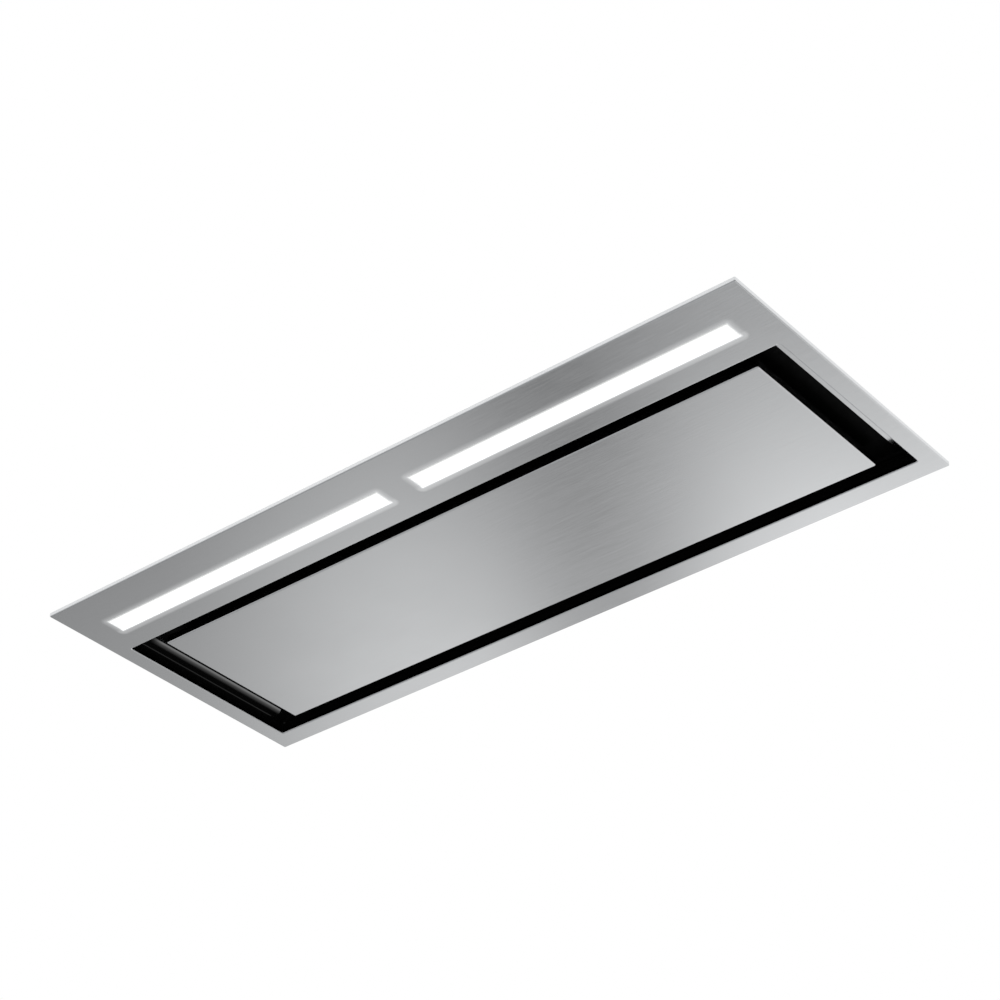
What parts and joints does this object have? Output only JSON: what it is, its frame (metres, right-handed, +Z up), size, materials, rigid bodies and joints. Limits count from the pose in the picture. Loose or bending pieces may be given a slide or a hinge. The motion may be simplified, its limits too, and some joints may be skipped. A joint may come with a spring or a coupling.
{
  "type": "canopy range hood",
  "caption": "Built-in range hood: flush stainless frame with lamp windows, hinged suction panel, grease filters, blower and round duct collar.",
  "frame": {"origin": "centre of the visible underside, on the plane of the face frame", "axes": "+Z up to the duct, +X along the hood, -Y to the side with the lamps"},
  "size_m": [0.86, 0.356, 0.3069],
  "materials": {
    "brushed_stainless": "fine brushed along the length",
    "black_coat": "gloss black powder coat",
    "zinc_steel": "galvanised, fine spangle",
    "black_foam": "closed-cell foam, matte",
    "opal_lens": "opal, lit from behind",
    "lamp_aluminium": "extruded, satin",
    "led_board": "white solder mask",
    "filter_aluminium": "bright rolled",
    "filter_mesh": "expanded and pleated mesh",
    "black_plastic": "moulded, fine matte",
    "grey_plastic": "moulded, fine matte",
    "white_plastic": "moulded, smooth",
    "circuit_board": "green solder mask",
    "cable_sheath": "smooth sheath",
    "black_rubber": "matte",
    "motor_steel": "black paint over pressed steel",
    "magnet_black": "moulded case",
    "bright_steel": "bright zinc plate",
    "spring_steel": "tempered strip"
  },
  "bodies": {
    "hood": {"face_frame": "brushed_stainless", "collector_tray": "black_coat", "hinge_bracket_left": "zinc_steel", "hinge_bracket_right": "zinc_steel", "plenum_shell": "zinc_steel", "lamp_partition": "zinc_steel", "motor_housing": "zinc_steel", "motor_bracket": "zinc_steel", "clamp_bracket_left_front": "zinc_steel", "clamp_bracket_left_rear": "zinc_steel", "clamp_bracket_right_front": "zinc_steel", "clamp_bracket_right_rear": "zinc_steel", "frame_seal": "black_foam", "lamp_diffuser_left": "opal_lens", "lamp_diffuser_right": "opal_lens", "lamp_housing_left": "lamp_aluminium", "lamp_housing_right": "lamp_aluminium", "led_board_left": "led_board", "led_board_right": "led_board", "filter_frame_left": "filter_aluminium", "filter_frame_right": "filter_aluminium", "filter_mesh_left": "filter_mesh", "filter_mesh_right": "filter_mesh", "scroll_left": "black_plastic", "scroll_right": "black_plastic", "duct_collar": "black_plastic", "junction_box": "grey_plastic", "junction_lid": "grey_plastic", "cable_gland": "grey_plastic", "led_driver": "white_plastic", "run_capacitor": "white_plastic", "terminal_block": "white_plastic", "control_board": "circuit_board", "motor_cable": "cable_sheath", "driver_cable": "cable_sheath", "lamp_cables": "cable_sheath", "cable_grommets": "black_rubber", "motor": "motor_steel", "magnet_catch_left": "magnet_black", "magnet_catch_right": "magnet_black", "clamp_screws": "bright_steel", "housing_screws": "bright_steel", "collar_screws": "bright_steel", "lid_screws": "bright_steel", "latch_spring_left": "spring_steel", "latch_spring_right": "spring_steel"},
    "panel": {"panel_skin": "brushed_stainless", "panel_back": "zinc_steel", "hinge_clevis_left": "zinc_steel", "hinge_clevis_right": "zinc_steel", "hinge_pin_left": "bright_steel", "hinge_pin_right": "bright_steel", "strike_plates": "zinc_steel"},
    "fan": {"impeller": "zinc_steel", "impeller_blades": "zinc_steel", "impeller_shaft": "bright_steel"},
    "front_flap": {"flap_front": "black_plastic"},
    "rear_flap": {"flap_rear": "black_plastic"},
    "left_latch": {"filter_latch_left": "black_plastic"},
    "right_latch": {"filter_latch_right": "black_plastic"}
  },
  "joints": [
    {"name": "panel_hinge", "type": "hinge", "parent": "hood", "child": "panel", "pos_m": [0, 0.131, 0.014], "axis": [1, 0, 0], "range_deg": [0, 90]},
    {"name": "fan_spin", "type": "hinge", "parent": "hood", "child": "fan", "pos_m": [0, -0.048, 0.172], "axis": [1, 0, 0], "continuous": true},
    {"name": "front_flap_hinge", "type": "hinge", "parent": "hood", "child": "front_flap", "pos_m": [0, -0.0042, 0.2749], "axis": [-1, 0, 0], "range_deg": [0, 80]},
    {"name": "rear_flap_hinge", "type": "hinge", "parent": "hood", "child": "rear_flap", "pos_m": [0, 0.0042, 0.2749], "axis": [1, 0, 0], "range_deg": [0, 80]},
    {"name": "left_latch_slide", "type": "slide", "parent": "hood", "child": "left_latch", "axis": [0, 1, 0], "range_m": [0, 0.0055], "stiffness_N_per_m": 400, "deforming": ["latch_spring_left"]},
    {"name": "right_latch_slide", "type": "slide", "parent": "hood", "child": "right_latch", "axis": [0, 1, 0], "range_m": [0, 0.0055], "stiffness_N_per_m": 400, "deforming": ["latch_spring_right"]}
  ]
}
